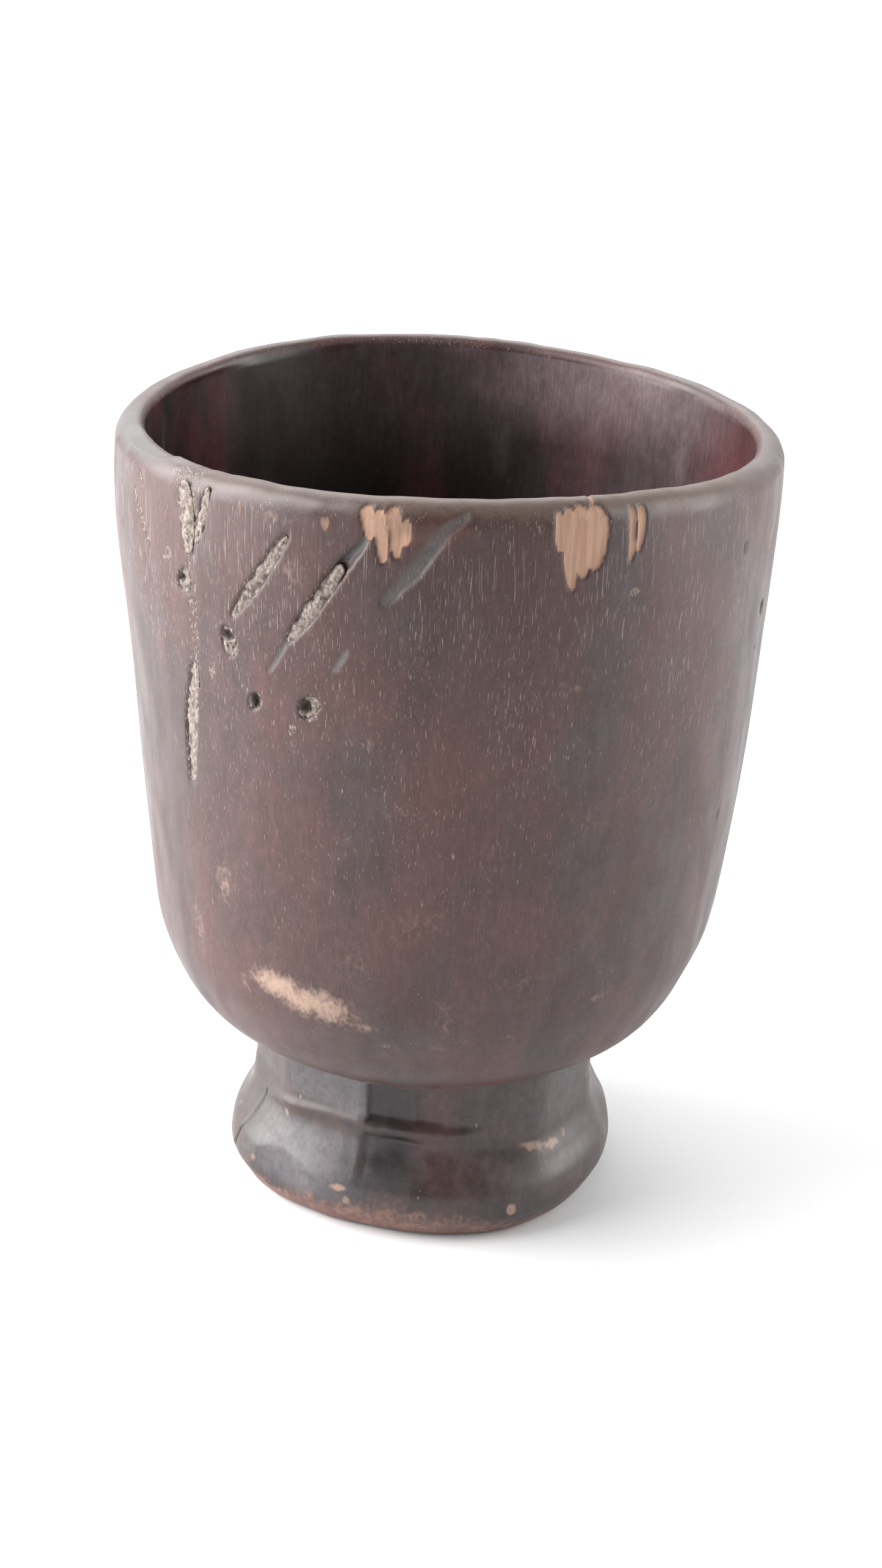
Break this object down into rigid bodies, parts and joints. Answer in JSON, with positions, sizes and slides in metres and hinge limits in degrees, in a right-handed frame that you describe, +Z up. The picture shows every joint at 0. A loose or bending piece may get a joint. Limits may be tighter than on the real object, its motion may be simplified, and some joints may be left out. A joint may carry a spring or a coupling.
{
  "type": "footed wooden drinking cup",
  "caption": "Hand-carved wooden drinking cup without a handle: tall flared bowl with slanted carved grooves, pits and chips under a wavy rim, on a short knife-cut foot.",
  "frame": {"origin": "Centre of the flat base of the foot, on the surface the cup stands on.", "axes": "+Z up through the bowl's mouth. -Y is the front, the side with the carved grooves and rim chips. +X is the viewer's right when facing the front."},
  "size_m": [0.0952, 0.0965, 0.1216],
  "materials": {
    "bowl_wood": "satin, worn and oiled dark red-brown wood with pale pores",
    "foot_wood": "semi-gloss, dark grey-brown knife-cut wood",
    "pale_filling": "matt, chalky and granular"
  },
  "bodies": {
    "root": {"bowl": "bowl_wood", "foot": "foot_wood", "crack_upper_filling": "pale_filling", "crack_lower_filling": "pale_filling", "groove_short_filling": "pale_filling", "groove_left_filling": "pale_filling", "groove_long_filling": "pale_filling", "pit_upper_filling": "pale_filling", "pit_middle_filling": "pale_filling", "pit_low_left_filling": "pale_filling", "pit_low_right_filling": "pale_filling"}
  },
  "joints": []
}
